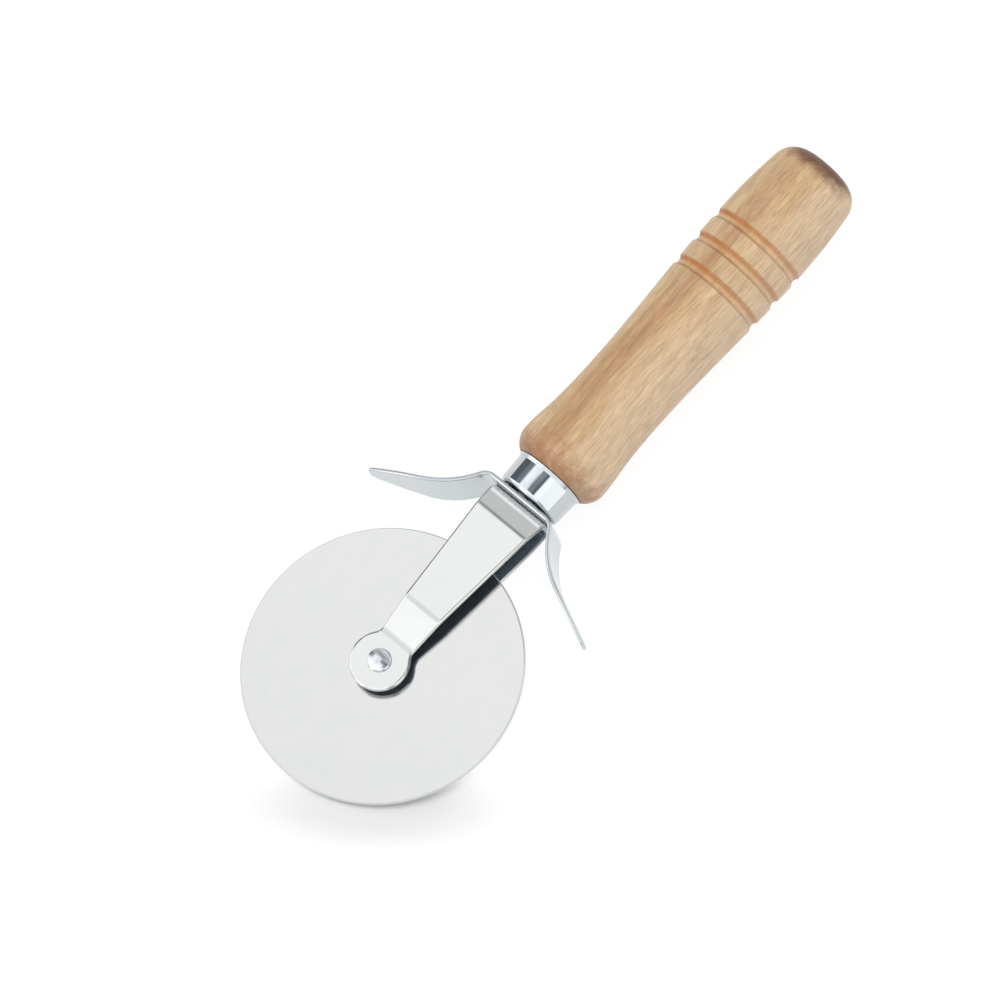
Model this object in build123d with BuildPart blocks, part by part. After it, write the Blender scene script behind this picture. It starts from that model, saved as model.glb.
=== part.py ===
"""Pizza cutter: a free-spinning wheel in a bent steel fork, with a finger guard and a turned wooden handle.

Millimetres. The cutter lies on its side: handle along +X towards its butt, wheel axle along +Z.
The origin is under the middle of the cutter, at the level of the handle's lowest line.
Sketches are drawn about the axle, so x = 0 is the wheel's centre in every profile below.
"""
import os
from math import atan2, pi, radians, tan

from build123d import *

os.makedirs("parts", exist_ok=True)

# Wheel
wheel_diameter = 60.0
wheel_thickness = 1.0
bevel_width = 0.3
edge_thickness = 0.3

# Axle: rivet, bush and washers, clamped together between the fork's bosses
rivet_diameter = 3.0
rivet_head_diameter = 5.2
rivet_head_height = 1.0
rivet_head_rim = 0.5
rivet_rim_radius = 0.45
rivet_tail_height = 1.0
bush_diameter = 5.0
washer_diameter = 9.0
front_washer_thickness = 2.1
rear_washer_thickness = 0.3
fit_clearance = 0.05
running_clearance = 0.05
side_clearance = 0.1

# Fork: one strip, bent into a U
fork_thickness = 1.2
boss_diameter = 13.0
boss_fillet = 3.0
arm_width_at_axle = 7.8
arm_width_at_bridge = 14.8
fork_depth = 9.2
shoulder_length = 5.0
shoulder_radius = 4.0
bridge_depth = 6.9
bridge_flat = 2.2
rim_clearance = 12.9
lower_crease = 5.6
lower_crease_radius = 9.0
upper_crease = 14.0
upper_crease_radius = 5.0
fork_edge_radius = 0.5

# Finger guard: one strip, a flat middle and two wings
guard_thickness = 0.9
guard_width = 13.5
guard_span = 61.0
guard_flat = 14.5
root_bend_radius = 2.9
root_bend_angle = 59.3
wing_radius = 21.7
wing_angle = 35.4
wing_taper_from = 13.3
wing_tip_width = 3.8
wing_tip_radius = 1.7
guard_edge_radius = 0.4

# Handle and ferrule, measured along the handle from the ferrule's closed end
grip_length = 95.0
ferrule_length = 7.6
ferrule_wall = 0.8
ferrule_diameter_low = 15.0
ferrule_diameter_top = 15.5
ferrule_edge_radius = 1.0
ferrule_lip_length = 0.8
ferrule_lip_flare = 0.35
ferrule_lip_radius = 0.6
ferrule_rim_radius = 0.3
ferrule_seat_diameter = 11.0
ferrule_seat_height = 0.5
shoulder_gap = 0.2
shoulder_diameter = 16.6
bulb_diameter = 21.6
bulb_from_shoulder = 4.4
fade_diameter = 20.6
fade_from_shoulder = 10.5
waist_diameter = 19.4
waist_from_shoulder = 24.7
rise_diameter = 21.0
rise_from_butt = 39.5
swell_diameter = 22.0
swell_from_butt = 20.5
butt_diameter = 18.6
butt_radius = 5.2
groove_count = 3
groove_from_butt = 22.5
groove_pitch = 6.4
groove_width = 2.3
groove_depth = 0.45
groove_edge_radius = 0.6

# Screw that holds fork, guard and ferrule to the handle
screw_diameter = 2.2
screw_length = 24.0
screw_point = 4.0
screw_head_diameter = 4.3
screw_head_angle = 90.0
screw_head_rim = 0.4
screw_slot_width = 0.6
screw_slot_depth = 0.6

# Places along the handle, from the axle
bridge_inner = wheel_diameter / 2 + rim_clearance
bridge_outer = bridge_inner + fork_thickness
ferrule_bottom = bridge_outer + guard_thickness
ferrule_rim = ferrule_bottom + ferrule_length
shoulder = ferrule_rim + shoulder_gap
butt = ferrule_bottom + grip_length
overall_length = wheel_diameter / 2 + butt
screw_tip = bridge_inner + screw_length

# Heights, from the middle plane of fork and handle; the washers differ, so the wheel runs off that plane
bush_half_length = wheel_thickness / 2 + side_clearance
wheel_level = (rear_washer_thickness - front_washer_thickness) / 2
boss_inner = bush_half_length + (front_washer_thickness + rear_washer_thickness) / 2
boss_outer = boss_inner + fork_thickness

# The axle stands where the origin comes out under the middle of the cutter
axle = (wheel_diameter / 2 - overall_length / 2, 0, max(swell_diameter, bulb_diameter) / 2)
top_plane = Plane(origin=axle, x_dir=(1, 0, 0), z_dir=(0, 0, 1))
side_plane = Plane(origin=axle, x_dir=(1, 0, 0), z_dir=(0, -1, 0))
end_plane = Plane(origin=axle, x_dir=(0, 1, 0), z_dir=(1, 0, 0))
wheel_top_plane = top_plane.offset(wheel_level)
wheel_side_plane = Plane(origin=wheel_top_plane.origin, x_dir=(1, 0, 0), z_dir=(0, -1, 0))
axle_axis = Axis(axle, (0, 0, 1))
handle_axis = Axis(axle, (1, 0, 0))

# Blade wheel: a flat disc, ground on both sides to a fine edge
with BuildPart() as blade_wheel:
    with BuildSketch(wheel_side_plane):
        with BuildLine():
            rim = wheel_diameter / 2
            bore = bush_diameter / 2 + running_clearance
            Polyline(
                (bore, -wheel_thickness / 2),
                (rim - bevel_width, -wheel_thickness / 2),
                (rim, -edge_thickness / 2),
                (rim, edge_thickness / 2),
                (rim - bevel_width, wheel_thickness / 2),
                (bore, wheel_thickness / 2),
                close=True,
            )
        make_face()
    revolve(axis=axle_axis)
blade_wheel.part.label = "blade_wheel"
export_step(blade_wheel.part, "parts/blade_wheel.step")

# Axle bush: the sleeve that the wheel turns on
with BuildPart() as axle_bush:
    with BuildSketch(wheel_top_plane):
        Circle(bush_diameter / 2)
        Circle(rivet_diameter / 2 + fit_clearance, mode=Mode.SUBTRACT)
    extrude(amount=bush_half_length, both=True)
axle_bush.part.label = "axle_bush"
export_step(axle_bush.part, "parts/axle_bush.step")

# Washers: they fill the gap between the bush and each boss
for name, direction, thickness in (
    ("front_washer", 1, front_washer_thickness),
    ("rear_washer", -1, rear_washer_thickness),
):
    with BuildPart() as washer:
        with BuildSketch(wheel_top_plane.offset(direction * bush_half_length)):
            Circle(washer_diameter / 2)
            Circle(rivet_diameter / 2 + fit_clearance, mode=Mode.SUBTRACT)
        extrude(amount=direction * thickness)
    washer.part.label = name
    export_step(washer.part, f"parts/{name}.step")

# Axle rivet: a low dome on a round rim in front, a peened head behind
with BuildPart() as axle_rivet:
    with BuildSketch(side_plane) as rivet_profile:
        with BuildLine():
            shank = rivet_diameter / 2
            head = rivet_head_diameter / 2
            dome_height = rivet_head_height - rivet_head_rim
            front_top = (0, boss_outer + rivet_head_height)
            front_rim = (head, boss_outer + rivet_head_rim)
            rear_top = (0, -boss_outer - rivet_tail_height)
            rear_rim = (head, -boss_outer)
            front_radius = (head**2 + dome_height**2) / (2 * dome_height)
            rear_radius = (head**2 + rivet_tail_height**2) / (2 * rivet_tail_height)
            RadiusArc(front_top, front_rim, front_radius)
            Polyline(front_rim, (head, boss_outer), (shank, boss_outer), (shank, -boss_outer), rear_rim)
            RadiusArc(rear_rim, rear_top, rear_radius)
            Line(rear_top, front_top)
        make_face()
        fillet(rivet_profile.vertices().sort_by(Axis.Y)[-2], rivet_rim_radius)
    revolve(axis=axle_axis)
axle_rivet.part.label = "axle_rivet"
export_step(axle_rivet.part, "parts/axle_rivet.step")

# Fork: the bent strip seen from the side, cut to the arm's outline seen from above
boss_middle = boss_outer - fork_thickness / 2
arm_middle = fork_depth / 2 - fork_thickness / 2
bridge_middle = bridge_depth / 2 - fork_thickness / 2
bridge_corner = bridge_outer - fork_thickness / 2
# Past the shoulder the arm slants inwards, and the last bend takes what the bridge's flat leaves
shoulder_slant = atan2(arm_middle - bridge_middle, shoulder_length)
bridge_bend_radius = (bridge_middle - bridge_flat / 2) / tan((pi / 2 - shoulder_slant) / 2)
arm_end = boss_diameter / 2 + fork_thickness
through_bridge = 2 * fork_thickness
half_strip = (
    (-arm_end, boss_middle),
    (lower_crease, boss_middle),
    (upper_crease, arm_middle),
    (bridge_corner - shoulder_length, arm_middle),
    (bridge_corner, bridge_middle),
)
strip_points = [*half_strip, *((x, -z) for x, z in reversed(half_strip))]
strip_radii = [lower_crease_radius, upper_crease_radius, shoulder_radius, bridge_bend_radius]
with BuildPart() as fork:
    with BuildSketch(side_plane):
        with BuildLine():
            FilletPolyline(*strip_points, radius=[*strip_radii, *reversed(strip_radii)])
        trace(line_width=fork_thickness)
    extrude(amount=arm_width_at_bridge, both=True)
    with BuildSketch(top_plane) as outline:
        with BuildLine():
            Polyline(
                (0, -arm_width_at_axle / 2),
                (bridge_outer, -arm_width_at_bridge / 2),
                (bridge_outer, arm_width_at_bridge / 2),
                (0, arm_width_at_axle / 2),
                close=True,
            )
        make_face()
        Circle(boss_diameter / 2)
        fillet(outline.vertices().group_by(Axis.X)[0], boss_fillet)
    extrude(amount=fork_depth, both=True, mode=Mode.INTERSECT)
    long_edges = fork.edges().filter_by(Axis.Y, reverse=True).filter_by(Axis.Z, reverse=True)
    fillet(long_edges, fork_edge_radius)
    with Locations(top_plane):
        Hole(rivet_diameter / 2 + fit_clearance)
    with Locations(Plane(origin=axle, z_dir=(-1, 0, 0)).offset(-bridge_inner)):
        CounterSinkHole(
            screw_diameter / 2,
            screw_head_diameter / 2,
            depth=through_bridge,
            counter_sink_angle=screw_head_angle,
        )
    # The bend is cut back round the screw's head
    with BuildSketch(end_plane.offset(bridge_inner)):
        Circle(screw_head_diameter / 2 + fit_clearance)
    extrude(amount=-bridge_bend_radius, mode=Mode.SUBTRACT)
fork.part.label = "fork"
export_step(fork.part, "parts/fork.step")

# The screw's countersunk head narrows towards the guard, whose hole clears what is left of the cone
head_slope = tan(radians(screw_head_angle / 2))
head_depth = (screw_head_diameter - screw_diameter) / 2 / head_slope
cone_at_guard = screw_head_diameter / 2 - fork_thickness * head_slope
guard_hole = max(screw_diameter / 2, cone_at_guard) + fit_clearance

# Finger guard: the bent strip seen from above, cut to tapered wings as seen along the handle
with BuildPart() as finger_guard:
    with BuildSketch(top_plane):
        with BuildLine():
            middle = bridge_outer + guard_thickness / 2
            flat = Line((middle, 0), (middle, guard_flat / 2))
            root = JernArc(flat @ 1, flat % 1, root_bend_radius, root_bend_angle)
            wing = JernArc(root @ 1, root % 1, wing_radius, -wing_angle)
            Line(wing @ 1, wing @ 1 + (wing % 1) * guard_span / 2)
        trace(line_width=guard_thickness)
        mirror(about=Plane.XZ)
    extrude(amount=guard_width / 2, both=True)
    with BuildSketch(end_plane) as wings:
        with BuildLine():
            edge = Line((0, guard_width / 2), (wing_taper_from, guard_width / 2))
            taper = TangentArc(edge @ 1, (guard_span / 2, wing_tip_width / 2), tangent=edge % 1)
            Polyline(taper @ 1, (guard_span / 2, 0), (0, 0), edge @ 0)
        make_face()
        mirror(about=Plane.XZ)
        mirror(about=Plane.YZ)
        tips = wings.vertices().group_by(Axis.X)
        fillet([*tips[0], *tips[-1]], wing_tip_radius)
    extrude(amount=ferrule_bottom, mode=Mode.INTERSECT)
    fillet(finger_guard.edges().filter_by(Axis.Z, reverse=True), guard_edge_radius)
    with BuildSketch(end_plane):
        Circle(guard_hole)
    extrude(amount=ferrule_bottom, mode=Mode.SUBTRACT)
finger_guard.part.label = "finger_guard"
export_step(finger_guard.part, "parts/finger_guard.step")

# Ferrule: a drawn cup, slightly tapered, with a flared lip; its closed end sits on a raised middle
low_radius = ferrule_diameter_low / 2
top_radius = ferrule_diameter_top / 2
screw_hole = screw_diameter / 2 + fit_clearance
ferrule_shelf = ferrule_bottom + ferrule_seat_height
spigot_end = ferrule_shelf + ferrule_wall
with BuildPart() as ferrule:
    with BuildSketch(side_plane) as cup:
        with BuildLine():
            seat_radius = ferrule_seat_diameter / 2
            Polyline(
                (ferrule_bottom, screw_hole),
                (ferrule_bottom, seat_radius),
                (ferrule_shelf, seat_radius + ferrule_seat_height),
                (ferrule_shelf, low_radius),
                (ferrule_rim - ferrule_lip_length, top_radius),
                (ferrule_rim, top_radius + ferrule_lip_flare),
                (ferrule_rim, top_radius - ferrule_wall),
                (spigot_end, low_radius - ferrule_wall),
                (spigot_end, screw_hole),
                close=True,
            )
        make_face()
        outer_corner = cup.vertices().group_by(Axis.X)[1].sort_by(Axis.Y)[-1]
        inner_corner = cup.vertices().group_by(Axis.X)[2].sort_by(Axis.Y)[-1]
        lip_corner = cup.vertices().group_by(Axis.X)[3]
        rim_corner = cup.vertices().group_by(Axis.X)[-1].sort_by(Axis.Y)[-1]
        fillet(outer_corner, ferrule_edge_radius)
        fillet(inner_corner, ferrule_edge_radius - ferrule_wall)
        fillet(lip_corner, ferrule_lip_radius)
        fillet(rim_corner, ferrule_rim_radius)
    revolve(axis=handle_axis)
ferrule.part.label = "ferrule"
export_step(ferrule.part, "parts/ferrule.step")

# Handle: one turned profile, from the spigot inside the ferrule to the rounded butt
bulb = (shoulder + bulb_from_shoulder, bulb_diameter / 2)
fade = (shoulder + fade_from_shoulder, fade_diameter / 2)
waist = (shoulder + waist_from_shoulder, waist_diameter / 2)
rise = (butt - rise_from_butt, rise_diameter / 2)
swell = (butt - swell_from_butt, swell_diameter / 2)
groove_radius = (groove_width**2 / 4 + groove_depth**2) / (2 * groove_depth)
rise_slope = (swell[1] - rise[1]) / (swell[0] - rise[0])
groove_places = [butt - groove_from_butt - i * groove_pitch for i in range(groove_count)]
groove_centres = [
    (x, rise[1] + (x - rise[0]) * rise_slope - groove_depth + groove_radius) for x in groove_places
]
with BuildPart() as handle:
    with BuildSketch(side_plane) as turned:
        with BuildLine():
            shoulder_edge = (shoulder, shoulder_diameter / 2)
            butt_edge = (butt, butt_diameter / 2)
            Polyline(
                butt_edge,
                (butt, 0),
                (spigot_end, 0),
                (spigot_end, low_radius - ferrule_edge_radius),
                (spigot_end + ferrule_edge_radius - ferrule_wall, low_radius - ferrule_wall),
                (ferrule_rim, top_radius - ferrule_wall),
                (shoulder, top_radius - ferrule_wall),
                shoulder_edge,
            )
            TangentArc(bulb, shoulder_edge, tangent=(-1, 0))
            Spline(bulb, fade, waist, rise, swell, tangents=((1, 0), (1, 0)))
            TangentArc(swell, butt_edge, tangent=(1, 0))
        make_face()
        with Locations(*groove_centres):
            Circle(groove_radius, mode=Mode.SUBTRACT)
        groove_lips = turned.vertices(Select.LAST)
        fillet(groove_lips, groove_edge_radius)
    revolve(axis=handle_axis)
    fillet(handle.edges().group_by(Axis.X)[-1], butt_radius)
    with BuildSketch(side_plane):
        with BuildLine():
            Polyline(
                (spigot_end, 0),
                (spigot_end, screw_diameter / 2),
                (screw_tip - screw_point, screw_diameter / 2),
                (screw_tip, 0),
                close=True,
            )
        make_face()
    revolve(axis=handle_axis, mode=Mode.SUBTRACT)
handle.part.label = "handle"
export_step(handle.part, "parts/handle.step")

# Handle screw: a countersunk wood screw with a slotted head, driven from inside the fork
head_top = bridge_inner - screw_head_rim
with BuildPart() as handle_screw:
    with BuildSketch(side_plane):
        with BuildLine():
            Polyline(
                (head_top, 0),
                (head_top, screw_head_diameter / 2),
                (bridge_inner, screw_head_diameter / 2),
                (bridge_inner + head_depth, screw_diameter / 2),
                (screw_tip - screw_point, screw_diameter / 2),
                (screw_tip, 0),
                close=True,
            )
        make_face()
    revolve(axis=handle_axis)
    with BuildSketch(end_plane.offset(head_top)):
        Rectangle(screw_head_diameter, screw_slot_width)
    extrude(amount=screw_slot_depth, mode=Mode.SUBTRACT)
handle_screw.part.label = "handle_screw"
export_step(handle_screw.part, "parts/handle_screw.step")

print("overall length", overall_length)
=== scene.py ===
# %% [markdown]
# # The looks of a pizza cutter
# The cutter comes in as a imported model: every piece is already at its real size and place, in metres.
# This lesson sets the camera, gives each piece its finish, lays the cutter on a pale floor and lights it
# softly.

# %% Load the cutter
import math
from collections import namedtuple

import bpy
from mathutils import Matrix, Vector


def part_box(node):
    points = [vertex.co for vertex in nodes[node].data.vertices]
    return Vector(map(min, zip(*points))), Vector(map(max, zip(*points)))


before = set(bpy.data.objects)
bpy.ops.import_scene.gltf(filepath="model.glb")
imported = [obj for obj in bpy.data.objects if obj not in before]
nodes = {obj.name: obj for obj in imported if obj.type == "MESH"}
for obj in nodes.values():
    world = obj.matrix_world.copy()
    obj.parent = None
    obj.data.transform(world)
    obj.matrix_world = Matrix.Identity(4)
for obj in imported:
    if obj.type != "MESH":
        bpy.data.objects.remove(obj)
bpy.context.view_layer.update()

MM = 0.001
print("pieces:", ", ".join(sorted(nodes)))

# %% [markdown]
# ## A few small helpers
# Colours are written as sRGB hex values, the way a paint program shows them, and shaders want linear
# light, so one function turns one into the other. Another adds a node with its settings and links. Most
# inputs go by name, but a Mix node has several of one name, so they go by number: two numbers to mix at 2
# and 3, two colours at 6 and 7, and the mixed colour comes out at 2. Two more start a material and hand
# it to pieces. The last says how far a coordinate is from a centre, which many patterns here start from.

# %% Helpers
Finish = namedtuple("Finish", "material tree shader place")


def linear(hex_colour):
    """An sRGB hex colour such as "d4b797" as linear red, green, blue and alpha."""
    shares = [int(hex_colour[i:i + 2], 16) / 255 for i in (0, 2, 4)]
    return (*(s / 12.92 if s <= 0.04045 else ((s + 0.055) / 1.055) ** 2.4 for s in shares), 1.0)


def add(tree, kind, inputs=None, **settings):
    """Adds a node. Inputs are values or other nodes' outputs, by the input's name or number."""
    node = tree.nodes.new(kind)
    for name, value in settings.items():
        setattr(node, name, value)
    for key, value in (inputs or {}).items():
        if isinstance(value, bpy.types.NodeSocket):
            tree.links.new(value, node.inputs[key])
        else:
            node.inputs[key].default_value = value
    return node


def new_finish(name):
    """A new material, its node tree, its shader, and the place of each surface point in metres."""
    material = bpy.data.materials.new(name)
    material.use_nodes = True
    tree = material.node_tree
    place = add(tree, "ShaderNodeTexCoord").outputs["Object"]
    return Finish(material, tree, tree.nodes["Principled BSDF"], place)


def give(finish, *names):
    """The named pieces wear this finish."""
    for name in names:
        nodes[name].data.materials.clear()
        nodes[name].data.materials.append(finish.material)
    print(finish.material.name, "on", ", ".join(names))


def apart(tree, coordinate, centre):
    """How far a coordinate lies from a centre, on either side."""
    off = add(tree, "ShaderNodeMath", {0: coordinate, 1: centre}, operation="SUBTRACT")
    return add(tree, "ShaderNodeMath", {0: off.outputs[0]}, operation="ABSOLUTE").outputs[0]


print("sRGB grey 808080 is", round(linear("808080")[0], 3), "in linear light")

# %% [markdown]
# ## Where things are
# Finishes and light follow the shape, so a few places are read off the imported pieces: the axle, midway
# between the fork's arms, the radius of the wheel, and the handle's ends.

# %% Places
wheel_low, wheel_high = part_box("blade_wheel")
handle_low, handle_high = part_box("handle")
fork_low, fork_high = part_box("fork")
axle = (wheel_low + wheel_high) / 2
axle.z = (fork_low.z + fork_high.z) / 2
wheel_radius = (wheel_high.x - wheel_low.x) / 2
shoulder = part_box("ferrule")[1].x
butt = handle_high.x
print("axle in mm:", [round(x / MM, 2) for x in axle], "wheel radius", round(wheel_radius / MM, 2))

# %% [markdown]
# ## Camera
# The picture looks down on the cutter from a little to one side, and from far away, so that lines stay
# nearly parallel. The camera stands two metres off on that line of sight, rolled so that the handle
# points up and right. Its lens follows from the scale of the picture, and its aim from the pixel where
# the axle is to appear.

# %% Camera
azimuth = math.radians(-22.0)
elevation = math.radians(69.7)
roll = math.radians(-27.37)
camera_distance = 2.0
frame_pixels = 1002
pixels_per_metre = 4826.0
axle_pixel = (381.9, 664.6)

to_camera = Vector((
    math.sin(azimuth) * math.cos(elevation),
    -math.cos(azimuth) * math.cos(elevation),
    math.sin(elevation),
))
turn = (-to_camera).to_track_quat("-Z", "Y").to_matrix() @ Matrix.Rotation(roll, 3, "Z")
view_right, view_up = turn.col[0], turn.col[1]
middle = frame_pixels / 2
aim = axle + (
    view_right * (middle - axle_pixel[0]) + view_up * (axle_pixel[1] - middle)
) / pixels_per_metre

camera_data = bpy.data.cameras.new("camera")
camera = bpy.data.objects.new("camera", camera_data)
bpy.context.scene.collection.objects.link(camera)
camera_data.sensor_width = 36.0
camera_data.lens = camera_data.sensor_width * camera_distance * pixels_per_metre / frame_pixels
camera_data.clip_end = 20.0
camera.matrix_world = Matrix.Translation(aim + to_camera * camera_distance) @ turn.to_4x4()
bpy.context.scene.camera = camera
print("lens", round(camera_data.lens, 1), "mm, looking along", [round(-x, 3) for x in to_camera])

# %% [markdown]
# ## Turned beech: the block it was cut from
# The handle is a pale hardwood, beech, turned on a lathe, sanded and wiped with a thin satin lacquer. A
# picture of wood wrapped round it would show a seam and run wrong at the ends. So the grain is drawn
# through the whole block, as in a real stick, and the turned surface cuts it where it happens to lie.
# Most of its patterns are a noise stretched along the stick. The ground is blotches of yellower and
# pinker wood. The side of the stick that the lamp leaves in shade is painted paler: painted light.

# %% Grain through the block
beech = new_finish("turned_beech_satin_lacquer")
tree, place = beech.tree, beech.place
along = add(tree, "ShaderNodeSeparateXYZ", {0: place}).outputs
wander_length, wander_width = 45 * MM, 5 * MM
painted_light_from, painted_light_full = -2.5 * MM, -9 * MM


def lengthwise(length_mm, width_mm, detail, widths_deep=0.0):
    """Noise stretched along the stick, in spots this long and wide, cut so many widths deep."""
    stretched = add(tree, "ShaderNodeMapping", {
        "Vector": wandering,
        "Location": (0, widths_deep, 0),
        "Scale": (1 / (length_mm * MM), 1 / (width_mm * MM), 1 / (width_mm * MM)),
    })
    noise = add(
        tree, "ShaderNodeTexNoise", {"Vector": stretched.outputs[0], "Scale": 1.0, "Detail": detail},
    )
    return noise.outputs["Fac"]


def paint(share, colour):
    """Mixes a colour into the wood."""
    return add(
        tree, "ShaderNodeMix", {0: share, 6: wood, 7: linear(colour)}, data_type="RGBA",
    ).outputs[2]


# The fibres wander sideways by up to a millimetre or two on their way along the stick
wander = add(tree, "ShaderNodeTexNoise", {"Vector": place, "Scale": 1 / wander_length, "Detail": 1.0})
wandering = add(
    tree, "ShaderNodeVectorMath",
    {0: wander.outputs["Color"], 1: (0, wander_width, wander_width), 2: place}, operation="MULTIPLY_ADD",
).outputs[0]

blotch = add(
    tree, "ShaderNodeMapRange",
    {"Value": lengthwise(22, 4, detail=2.0), "From Min": 0.36, "From Max": 0.64},
)
wood = add(
    tree, "ShaderNodeMix",
    {0: blotch.outputs["Result"], 6: linear("cfab7e"), 7: linear("dabb95")}, data_type="RGBA",
).outputs[2]
# Painted light: the shaded side of the stick, towards -Y, is painted paler
painted_light_side = add(
    tree, "ShaderNodeMapRange",
    {"Value": along["Y"], "From Min": painted_light_from, "From Max": painted_light_full, "To Max": 0.5},
)
wood = paint(painted_light_side.outputs["Result"], "e6ceb4")
print("block drawn with", len(tree.nodes), "nodes")

# %% [markdown]
# ## Turned beech: veins
# A darker, redder vein runs down one side of the handle, where the tree's heart was near, with thinner
# ones beside it. Each is a sheet through the block at its own distance from the stick's middle, with a
# soft edge. A slow noise makes them stronger and weaker on their way, and they fade towards the butt.

# %% Veins
fade_from, fade_to = 60 * MM, 72 * MM
veins = (
    # how far aside in the wandering grain, half its width, both in mm, and how strong
    (5.0, 3.6, 0.72),
    (7.6, 1.2, 0.5),
    (3.4, 0.6, 0.25),
)
side_place = add(tree, "ShaderNodeSeparateXYZ", {0: wandering}).outputs["Y"]
vein_strength = add(
    tree, "ShaderNodeMapRange",
    {"Value": lengthwise(26, 6, detail=2.0, widths_deep=3.0), "From Min": 0.35, "From Max": 0.6,
     "To Min": 0.45, "To Max": 1.0},
)
toward_butt = add(
    tree, "ShaderNodeMapRange",
    {"Value": along["X"], "From Min": fade_from, "From Max": fade_to, "To Min": 1.0, "To Max": 0.55},
)
vein_strength = add(
    tree, "ShaderNodeMath",
    {0: vein_strength.outputs["Result"], 1: toward_butt.outputs["Result"]}, operation="MULTIPLY",
)
for aside, half_width, strength in veins:
    inside = add(
        tree, "ShaderNodeMapRange",
        {"Value": apart(tree, side_place, aside * MM), "From Min": half_width * MM, "From Max": 0.0,
         "To Max": strength},
        interpolation_type="SMOOTHSTEP",
    )
    share = add(
        tree, "ShaderNodeMath",
        {0: inside.outputs["Result"], 1: vein_strength.outputs[0]}, operation="MULTIPLY",
    )
    wood = paint(share.outputs[0], "ae7c50")
print(len(veins), "veins: now", len(tree.nodes), "nodes")

# %% [markdown]
# ## Turned beech: fibres and flecks
# Fine fibres and a broader mottle lighten and darken what is there, so they multiply the colour. Over
# them lie the short brown flecks that beech is known by. Real fibres are finer than a pixel of the
# picture, so these are drawn about a third of a millimetre wide, to show at all.

# %% Fibres and flecks
fibres = lengthwise(5, 0.36, detail=2.0)
mottle = lengthwise(5, 1.6, detail=2.0, widths_deep=12.0)
for pattern, low_tone, high_tone in ((fibres, 0.82, 1.13), (mottle, 0.91, 1.07)):
    tone = add(
        tree, "ShaderNodeMapRange",
        {"Value": pattern, "From Min": 0.3, "From Max": 0.7, "To Min": low_tone, "To Max": high_tone},
    )
    wood = add(
        tree, "ShaderNodeMix", {0: 1.0, 6: wood, 7: tone.outputs["Result"]},
        data_type="RGBA", blend_type="MULTIPLY",
    ).outputs[2]
fleck = add(
    tree, "ShaderNodeMapRange",
    {"Value": lengthwise(2.4, 0.28, detail=1.0, widths_deep=7.0), "From Min": 0.57, "From Max": 0.72,
     "To Max": 0.3},
)
wood = paint(fleck.outputs["Result"], "94683f")
print("fibres and flecks: now", len(tree.nodes), "nodes")

# %% [markdown]
# ## Turned beech: grooves and end grain
# Where the surface cuts across the fibres, their ends drink the lacquer and turn brown: on the walls of
# each groove, on the bulb's rounding at the ferrule, and most at the butt. Each groove is a few soft
# bands: a tan floor, and darker brown on its walls that is partly end grain and partly painted shade,
# strongest on the wall that faces the ferrule, with a thin dark line at its other edge. They are patchy,
# as some fibres drink more than others, and weaker away from the veins. At an end of the wood the brown
# fades out with a ragged edge: the same patchy noise is added to the distance from the end.

# %% Grooves and end grain
patch_size = 2.4 * MM
groove_faintest_y, groove_strongest_y = -8 * MM, 4 * MM
groove_count, groove_from_butt, groove_pitch = 3, 22.5 * MM, 6.4 * MM
band_core = 0.4
# Brown end grain and painted shade: the dark bands on the groove walls stand in for the grooves' shade
groove_stain_and_shade_bands = (
    # from the groove's middle towards the butt, half its width, both in mm, how strong, and its colour
    (0.0, 1.3, 0.55, "d39a58"),
    (0.7, 0.7, 1.0, "b0661f"),
    (-0.95, 0.4, 0.85, "8c6840"),
)
patches = add(tree, "ShaderNodeTexNoise", {"Vector": place, "Scale": 1 / patch_size, "Detail": 4.0})
patches = add(
    tree, "ShaderNodeMapRange", {"Value": patches.outputs["Fac"], "From Min": 0.3, "From Max": 0.7},
).outputs["Result"]


def end_grain(end, reach_mm, full_mm, ragged_mm, strength):
    """How much end grain shows, from none at one distance from an end of the wood to all at another."""
    off = add(
        tree, "ShaderNodeMath",
        {0: patches, 1: ragged_mm * MM, 2: apart(tree, along["X"], end)}, operation="MULTIPLY_ADD",
    )
    return add(
        tree, "ShaderNodeMapRange",
        {"Value": off.outputs[0], "From Min": reach_mm * MM, "From Max": full_mm * MM, "To Max": strength},
        interpolation_type="SMOOTHSTEP",
    ).outputs["Result"]


toward_veins = add(
    tree, "ShaderNodeMapRange",
    {"Value": along["Y"], "From Min": groove_faintest_y, "From Max": groove_strongest_y, "To Min": 0.45, "To Max": 1.0},
).outputs["Result"]
# How strong the grooves' brown and painted shade are: patchy, and weaker away from the veins
stain_and_shade_strength = add(
    tree, "ShaderNodeMapRange", {"Value": patches, "To Min": toward_veins, "To Max": 0.5},
).outputs["Result"]
for i in range(groove_count):
    groove = butt - groove_from_butt - i * groove_pitch
    for towards_butt, half_width, strength, colour in groove_stain_and_shade_bands:
        band = add(
            tree, "ShaderNodeMapRange",
            {"Value": apart(tree, along["X"], groove + towards_butt * MM), "From Min": half_width * MM,
             "From Max": band_core * half_width * MM, "To Max": strength},
        )
        share = add(
            tree, "ShaderNodeMath", {0: band.outputs["Result"], 1: stain_and_shade_strength}, operation="MULTIPLY",
        )
        wood = paint(share.outputs[0], colour)

wood = paint(end_grain(shoulder, reach_mm=11, full_mm=1.5, ragged_mm=6.5, strength=0.8), "a66f4a")
print(groove_count, "grooves and the bulb's end grain: now", len(tree.nodes), "nodes")

# %% [markdown]
# ## Turned beech: butt and lacquer
# At the butt the fibres are cut straight across, so the year rings show as arcs round the tree's pith,
# which lay well outside this stick, and a dark stain sits off centre, where the end drank most. Over it
# all lies a thin coat, too thin to hide the fibres, which leaves a soft sheen.

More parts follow.
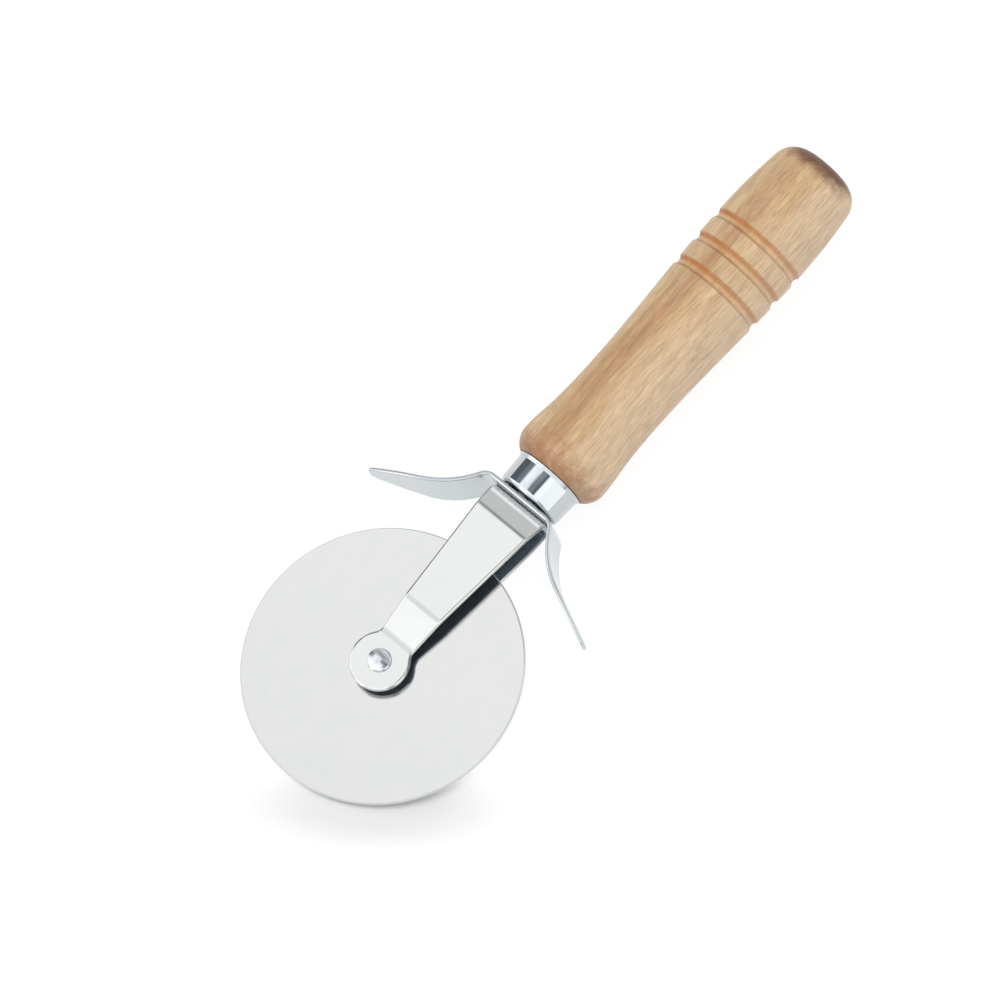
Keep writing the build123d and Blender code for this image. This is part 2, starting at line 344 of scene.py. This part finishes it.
# %% Butt and lacquer
pith = Vector((0, 14 * MM, axle.z - 9 * MM))
ring_spacing = 1.6 * MM
stain = Vector((0, -0.6 * MM, axle.z + 5.2 * MM))
stain_reach, stain_full, stain_ragged = 10.5 * MM, 6 * MM, 1.2 * MM
fibre_depth = 0.05 * MM
cross_section = add(
    tree, "ShaderNodeVectorMath", {0: place, 1: (0, 1, 1)}, operation="MULTIPLY",
).outputs[0]

from_pith = add(tree, "ShaderNodeVectorMath", {0: cross_section, 1: pith}, operation="DISTANCE")
rings = add(
    tree, "ShaderNodeMath",
    {0: from_pith.outputs["Value"], 1: 2 * math.pi / ring_spacing, 2: patches}, operation="MULTIPLY_ADD",
)
rings = add(tree, "ShaderNodeMath", {0: rings.outputs[0]}, operation="SINE")
ring_tone = add(
    tree, "ShaderNodeMapRange",
    {"Value": rings.outputs[0], "From Min": -1.0, "To Min": 0.8, "To Max": 1.06},
)
sawn_end = end_grain(butt, reach_mm=3.2, full_mm=0.8, ragged_mm=1.0, strength=0.75)
wood = paint(sawn_end, "b08d70")

from_stain = add(tree, "ShaderNodeVectorMath", {0: cross_section, 1: stain}, operation="DISTANCE")
from_stain = add(
    tree, "ShaderNodeMath",
    {0: patches, 1: stain_ragged, 2: from_stain.outputs["Value"]}, operation="MULTIPLY_ADD",
)
stained = add(
    tree, "ShaderNodeMapRange",
    {"Value": from_stain.outputs[0], "From Min": stain_reach, "From Max": stain_full},
    interpolation_type="SMOOTHSTEP",
)
soaked_end = end_grain(butt, reach_mm=5.8, full_mm=2.0, ragged_mm=1.2, strength=0.95)
stained = add(tree, "ShaderNodeMath", {0: stained.outputs["Result"], 1: soaked_end}, operation="MULTIPLY")
wood = paint(stained.outputs[0], "653a22")
wood = add(
    tree, "ShaderNodeMix", {0: sawn_end, 6: wood, 7: ring_tone.outputs["Result"]},
    data_type="RGBA", blend_type="MULTIPLY",
).outputs[2]
tree.links.new(wood, beech.shader.inputs["Base Color"])

fibre_bump = add(tree, "ShaderNodeBump", {"Height": fibres, "Strength": 0.3, "Distance": fibre_depth})
tree.links.new(fibre_bump.outputs["Normal"], beech.shader.inputs["Normal"])
beech.shader.inputs["Roughness"].default_value = 0.5
beech.shader.inputs["Coat Weight"].default_value = 0.15
beech.shader.inputs["Coat Roughness"].default_value = 0.35
give(beech, "handle")

# %% [markdown]
# ## Steel
# Every other piece is steel. What tells them apart is how smooth each surface was left, so one function
# makes a steel from its colour and roughness. No steel is even: rolling and polishing leave faint clouds,
# so both vary a little over a few millimetres.

# %% Steel
cloud_spread = 0.15


def steel(name, colour, cloudy_colour, roughness, cloud_mm):
    """A steel with faint clouds of the given size."""
    finish = new_finish(name)
    tree, shader = finish.tree, finish.shader
    cloud = add(
        tree, "ShaderNodeTexNoise", {"Vector": finish.place, "Scale": 1 / (cloud_mm * MM), "Detail": 4.0},
    )
    cloud = add(
        tree, "ShaderNodeMapRange", {"Value": cloud.outputs["Fac"], "From Min": 0.3, "From Max": 0.7},
    ).outputs["Result"]
    tone = add(
        tree, "ShaderNodeMix", {0: cloud, 6: linear(colour), 7: linear(cloudy_colour)}, data_type="RGBA",
    )
    rough = add(
        tree, "ShaderNodeMapRange",
        {"Value": cloud, "To Min": (1 - cloud_spread) * roughness, "To Max": (1 + cloud_spread) * roughness},
    )
    tree.links.new(tone.outputs[2], shader.inputs["Base Color"])
    tree.links.new(rough.outputs["Result"], shader.inputs["Roughness"])
    shader.inputs["Metallic"].default_value = 1.0
    return finish


print("clouds change roughness by", cloud_spread, "either way")

# %% [markdown]
# ## Chromed ferrule
# The ferrule is a drawn cup with bright chrome on it, which mirrors the studio sharply. Its end, under
# the guard, is dull and painted dark: painted shade for the gap between ferrule and guard. The piece
# needn't be cut up for that: one helper finds the faces that look along an axis, from the surface's
# normal, and another mixes another surface in there, duller or painted. The strips and the wheel need
# them too.

# %% Chromed ferrule


def facing(tree, axis, start, full):
    """1 where the surface looks along an axis, 0 where it doesn't, between the two slopes given."""
    normal = add(tree, "ShaderNodeSeparateXYZ", {0: add(tree, "ShaderNodeNewGeometry").outputs["Normal"]})
    return add(
        tree, "ShaderNodeMapRange", {"Value": normal.outputs[axis], "From Min": start, "From Max": full},
        interpolation_type="SMOOTHSTEP",
    ).outputs["Result"]


def dull_and_painted_light(finish, share, colour, roughness, metallic):
    """Where share is 1, the steel has another colour and roughness and is less of a mirror; it serves duller
    finishes and painted light and shade.
    """
    changes = (
        # the shader's input, the kind of mix, its two inputs, its output, and the value mixed in
        ("Base Color", "RGBA", 6, 7, 2, linear(colour)),
        ("Roughness", "FLOAT", 2, 3, 0, roughness),
        ("Metallic", "FLOAT", 2, 3, 0, metallic),
    )
    for name, kind, first, second, result, mixed_in in changes:
        socket = finish.shader.inputs[name]
        before = socket.links[0].from_socket if socket.is_linked else socket.default_value
        mixed = add(finish.tree, "ShaderNodeMix", {0: share, first: before, second: mixed_in}, data_type=kind)
        finish.tree.links.new(mixed.outputs[result], socket)


chrome = steel("chromed_drawn_steel", "c1c6c9", "c8cccf", 0.06, cloud_mm=3.0)
# Painted shade: the ferrule's end, under the guard, is painted dark for the gap between ferrule and guard
dull_and_painted_light(chrome, facing(chrome.tree, "X", -0.96, -0.995), "3c4147", roughness=0.5, metallic=0.3)
give(chrome, "ferrule")

# %% [markdown]
# ## Plain steels
# The rivet was headed cold between polished dies, so its dome is bright, but softer than chrome. Screw,
# bush and washers came out of a zinc bath, dull and a little grey.

# %% Plain steels
give(steel("cold_headed_bright_steel", "c3c6cb", "cacdd2", 0.17, cloud_mm=1.0), "axle_rivet")
give(
    steel("zinc_plated_steel", "b4b8bc", "c2c5c8", 0.32, cloud_mm=1.0),
    "handle_screw", "axle_bush", "front_washer", "rear_washer",
)

# %% [markdown]
# ## Polished strip
# Fork and guard are bent from stainless strip, polished after bending. The buff can't reach between the
# arms, so there the strip keeps a grey rolled skin, given a slate tone that paints the shade of the gap
# beside the wheel. A surface point is inside where its normal looks towards the middle of the throat.
# The fork's faces that look towards the handle, at its last bend under the guard, are painted a matt
# near-white: a painted highlight for the white that bend shows. The guard's sheared edges are a little
# duller than its faces.

# %% Polished strip
strip = steel("polished_stainless_strip", "c5c6c6", "c9caca", 0.11, cloud_mm=4.0)
tree = strip.tree
throat = Vector((axle.x + wheel_radius, 0, axle.z))
to_throat = add(tree, "ShaderNodeVectorMath", {0: throat, 1: strip.place}, operation="SUBTRACT")
normal = add(tree, "ShaderNodeNewGeometry").outputs["Normal"]
looks_in = add(tree, "ShaderNodeVectorMath", {0: to_throat.outputs[0], 1: normal}, operation="DOT_PRODUCT")
inside = add(tree, "ShaderNodeMath", {0: looks_in.outputs["Value"], 1: 0.0}, operation="GREATER_THAN")
# Painted shade: the faces inside the throat get a slate grey that draws the gap beside the wheel dark
dull_and_painted_light(strip, inside.outputs[0], "76818e", roughness=0.34, metallic=0.45)
# Painted highlight: the fork's faces that look towards the handle, at its last bend, are a matt near-white
dull_and_painted_light(strip, facing(tree, "X", 0.55, 0.75), "f8f8f8", roughness=0.5, metallic=0.0)
give(strip, "fork")

guard_strip = steel("polished_stainless_guard_strip", "bfc6c9", "c5cbce", 0.13, cloud_mm=4.0)
dull_and_painted_light(guard_strip, facing(guard_strip.tree, "Z", 0.75, 0.95), "b0b5b8", roughness=0.3, metallic=0.9)
give(guard_strip, "finger_guard")

# %% [markdown]
# ## Wheel
# The wheel is blanked from rolled stainless sheet with a satin face. Its bevel was ground on a stone,
# which leaves it duller: a thin grey line all round the rim.

# %% Wheel
sheet = steel("satin_rolled_stainless_sheet", "c1c2c2", "c5c6c5", 0.12, cloud_mm=4.0)
tree = sheet.tree
ground_width = 0.3 * MM
flat_place = add(tree, "ShaderNodeVectorMath", {0: sheet.place, 1: (1, 1, 0)}, operation="MULTIPLY")
from_axle = add(
    tree, "ShaderNodeVectorMath",
    {0: flat_place.outputs[0], 1: (axle.x, axle.y, 0)}, operation="DISTANCE",
)
ground = add(
    tree, "ShaderNodeMath",
    {0: from_axle.outputs["Value"], 1: wheel_radius - ground_width}, operation="GREATER_THAN",
)
dull_and_painted_light(sheet, ground.outputs[0], "d3d6d6", roughness=0.45, metallic=0.5)
give(sheet, "blade_wheel")

# %% [markdown]
# ## Floor: paper
# The cutter lies on white paper. Where the camera or a mirror looks at it, most of it is plain white, and
# the rest is real paper that shows the cutter's shadow. In an oval at the wheel's lower rim nearly all of
# it is real paper of a greyer tone than white, so that a painted shadow lies there round the real one,
# deepest at the rim and fading out into white.

# %% Paper
plain_share, plain_share_at_rim = 0.85, 0.05
plain_light = 1.08
shade_width, shade_depth, shade_core = 34 * MM, 12 * MM, 0.3
downwards = Vector((view_up.x, view_up.y, 0)).normalized()
across = downwards.cross(Vector((0, 0, 1)))
lower_rim = axle - downwards * wheel_radius

paper = bpy.data.materials.new("white_paper")
paper.use_nodes = True
tree = paper.node_tree
tree.nodes.remove(tree.nodes["Principled BSDF"])
path = add(tree, "ShaderNodeLightPath").outputs
seen = path["Is Camera Ray"]
for ray in ("Is Glossy Ray", "Is Transmission Ray"):
    seen = add(tree, "ShaderNodeMath", {0: seen, 1: path[ray]}, operation="MAXIMUM").outputs[0]

spot = add(tree, "ShaderNodeNewGeometry").outputs["Position"]
away = add(tree, "ShaderNodeVectorMath", {0: spot, 1: lower_rim}, operation="SUBTRACT").outputs[0]
reach = [
    add(tree, "ShaderNodeVectorMath", {0: away, 1: way / size}, operation="DOT_PRODUCT").outputs["Value"]
    for way, size in ((across, shade_width), (downwards, shade_depth))
]
reach = add(tree, "ShaderNodeCombineXYZ", {0: reach[0], 1: reach[1]}).outputs[0]
reach = add(tree, "ShaderNodeVectorMath", {0: reach}, operation="LENGTH").outputs["Value"]
plainness = add(
    tree, "ShaderNodeMapRange",
    {"Value": reach, "From Min": shade_core, "To Min": plain_share_at_rim, "To Max": plain_share},
    interpolation_type="SMOOTHSTEP",
)
share = add(tree, "ShaderNodeMath", {0: seen, 1: plainness.outputs["Result"]}, operation="MULTIPLY")
# The paper's greyer tone shows only in the oval at the wheel's rim, where it paints a shadow round the real
# one
shaded = add(tree, "ShaderNodeBsdfDiffuse", {"Color": linear("f0f0f0")})
plain = add(tree, "ShaderNodeEmission", {"Color": (1, 1, 1, 1), "Strength": plain_light})
mixed = add(
    tree, "ShaderNodeMixShader", {0: share.outputs[0], 1: shaded.outputs[0], 2: plain.outputs[0]},
)
tree.links.new(mixed.outputs[0], tree.nodes["Material Output"].inputs["Surface"])
print("paper drawn with", len(tree.nodes), "nodes")

# %% [markdown]
# ## Floor: the plane
# Laid down, the cutter rests on the bulb of its handle and on the rim of its wheel, so the floor is the
# plane through those two points. The bulb is a little thinner than the thickest part of the handle, and a
# hair of air is left under the rim, so that it doesn't cut the paper.

# %% Floor
bulb_place, bulb_rise = 2.6 * MM, 0.2 * MM
rim_gap = 0.2 * MM
floor_half = 6.0
bulb = Vector((bulb_place, 0, handle_low.z + bulb_rise))
rim = Vector((wheel_low.x, 0, wheel_low.z - rim_gap))
floor_slope = math.atan2(rim.z - bulb.z, bulb.x - rim.x)

floor_mesh = bpy.data.meshes.new("floor")
corners = [(x * floor_half, y * floor_half, 0) for x, y in ((-1, -1), (1, -1), (1, 1), (-1, 1))]
floor_mesh.from_pydata(corners, [], [(0, 1, 2, 3)])
floor_mesh.materials.append(paper)
floor = bpy.data.objects.new("floor", floor_mesh)
floor.matrix_world = Matrix.Translation(bulb) @ Matrix.Rotation(floor_slope, 4, "Y")
bpy.context.scene.collection.objects.link(floor)
print("floor slopes by", round(math.degrees(floor_slope), 2), "degrees")

# %% [markdown]
# ## Studio: the tent
# Metal looks like what it mirrors, so the studio matters as much as the steel. The world is a white tent:
# plain white for the camera, an even soft light for the wood, and, for whatever a mirror sees, a tent
# with some shape to it. Its roof is brightest over the wheel and dims towards the handle, where a wall
# takes over that is grey near the roof and bright below. A direction in the tent is given by its share
# along X, from -1 at the wheel's end to 1 at the handle's.

# %% Tent
roof_over_wheel, roof_over_handle, roof_full = 1.7, 1.16, -0.3
wall_above, wall_below = 0.72, 1.5
wall_from, wall_to = 0.17, 0.33
wall_grey_to, wall_bright_from = 0.45, 0.75

world = bpy.data.worlds.new("white_tent")
bpy.context.scene.world = world
world.use_nodes = True
tree = world.node_tree
toward = add(tree, "ShaderNodeTexCoord").outputs["Generated"]
axes = add(tree, "ShaderNodeSeparateXYZ", {0: toward}).outputs
roof = add(
    tree, "ShaderNodeMapRange",
    {"Value": axes["X"], "From Min": roof_full, "To Min": roof_over_wheel, "To Max": roof_over_handle},
)
wall = add(
    tree, "ShaderNodeMapRange",
    {"Value": axes["X"], "From Min": wall_grey_to, "From Max": wall_bright_from,
     "To Min": wall_above, "To Max": wall_below},
)
at_wall = add(
    tree, "ShaderNodeMapRange", {"Value": axes["X"], "From Min": wall_from, "From Max": wall_to},
    interpolation_type="SMOOTHSTEP",
)
mirrored = add(
    tree, "ShaderNodeMix",
    {0: at_wall.outputs["Result"], 2: roof.outputs["Result"], 3: wall.outputs["Result"]},
    data_type="FLOAT",
).outputs[0]
print("roof from", roof_over_wheel, "to", roof_over_handle, "and wall from", wall_above, "to", wall_below)

# %% [markdown]
# ## Studio: the sheets
# Sheets of other light hang in the tent, each with a soft edge, given by its place and half its width
# along X and Y. Each draws something that the polished pieces show, and the dark ones are narrow, so that
# the flat faces, which mirror one spot of the tent, stay bright from most sides. Light brighter than
# white has no hex value, so it is given in linear numbers.

# %% Sheets
soft_light = 0.7
soft_edge = 0.06
darkest, dark, shade = linear("37414b"), linear("64717c"), linear("8b959d")
calm, bright, brightest = (1.05, 1.05, 1.05, 1.0), (1.7, 1.7, 1.7, 1.0), (2.8, 2.6, 2.5, 1.0)
sheets = (
    # along X and along Y: middle and half its width; then its share and its light
    # The two dark stripes on the ferrule, each darkest on one side
    (0.12, 0.13, 0.86, 0.2, 0.9, dark),
    (0.12, 0.13, 0.96, 0.09, 0.55, darkest),
    (0.12, 0.11, -0.08, 0.24, 0.9, dark),
    (0.12, 0.11, -0.24, 0.1, 0.55, darkest),
    # The dark spot in the rivet's dome
    (-0.06, 0.08, -0.21, 0.08, 0.8, dark),
    # The creases of the fork, at both ends of its neck and near the guard
    (-0.06, 0.13, 0.32, 0.1, 0.27, dark),
    (0.37, 0.06, 0.32, 0.3, 0.55, dark),
    # The shade on roundings that look towards the handle
    (0.92, 0.16, 0.3, 0.6, 0.8, shade),
    # The dark lower rim of the rivet
    (-0.4, 0.17, -0.76, 0.16, 0.85, dark),
    # The bright band low on the ferrule
    (0.13, 0.25, -0.5, 0.16, 0.8, bright),
    # A calmer end beyond the wheel, so that flat faces don't burn out when seen from the butt
    (-1.0, 0.4, 0.0, 1.5, 0.7, calm),
    # The card in it that lights the fork's last bend, by way of the guard
    (-0.85, 0.17, 0.32, 0.16, 0.9, brightest),
)
for x, half_x, y, half_y, cover, colour in sheets:
    for axis, centre, half in (("X", x, half_x), ("Y", y, half_y)):
        inside = add(
            tree, "ShaderNodeMapRange",
            {"Value": apart(tree, axes[axis], centre), "From Min": half + soft_edge,
             "From Max": half - soft_edge},
            interpolation_type="SMOOTHSTEP",
        )
        cover = add(
            tree, "ShaderNodeMath", {0: inside.outputs["Result"], 1: cover}, operation="MULTIPLY",
        ).outputs[0]
    mirrored = add(tree, "ShaderNodeMix", {0: cover, 6: mirrored, 7: colour}, data_type="RGBA").outputs[2]

path = add(tree, "ShaderNodeLightPath").outputs
seen = add(
    tree, "ShaderNodeMath", {0: path["Is Camera Ray"], 1: path["Is Transmission Ray"]}, operation="MAXIMUM",
)
even = add(tree, "ShaderNodeMapRange", {"Value": seen.outputs[0], "To Min": soft_light, "To Max": 1.0})
light = add(
    tree, "ShaderNodeMix",
    {0: path["Is Glossy Ray"], 6: even.outputs["Result"], 7: mirrored}, data_type="RGBA",
)
background = tree.nodes["Background"]
tree.links.new(light.outputs[2], background.inputs["Color"])
background.inputs["Strength"].default_value = 1.0
print("tent with", len(sheets), "sheets")

# %% [markdown]
# ## Lamp
# One large softbox near the camera, a little above it in the picture, lights the wood and hides most of
# the shadow behind the cutter. Mirrors see the tent's roof in its place.

# %% Lamp
lamp_distance = 0.8
lamp_toward_camera, lamp_above = 0.9, 0.44
lamp_data = bpy.data.lights.new("softbox", "AREA")
lamp_data.shape = "SQUARE"
lamp_data.size = 0.45
lamp_data.energy = 2.0
lamp = bpy.data.objects.new("softbox", lamp_data)
bpy.context.scene.collection.objects.link(lamp)
toward_lamp = (to_camera * lamp_toward_camera + view_up * lamp_above).normalized()
facing_down = toward_lamp.to_track_quat("Z", "Y").to_matrix().to_4x4()
lamp.matrix_world = Matrix.Translation(toward_lamp * lamp_distance) @ facing_down
lamp.visible_glossy = False
bpy.context.scene.view_settings.view_transform = "Standard"
print("softbox at", [round(x, 2) for x in lamp.location])
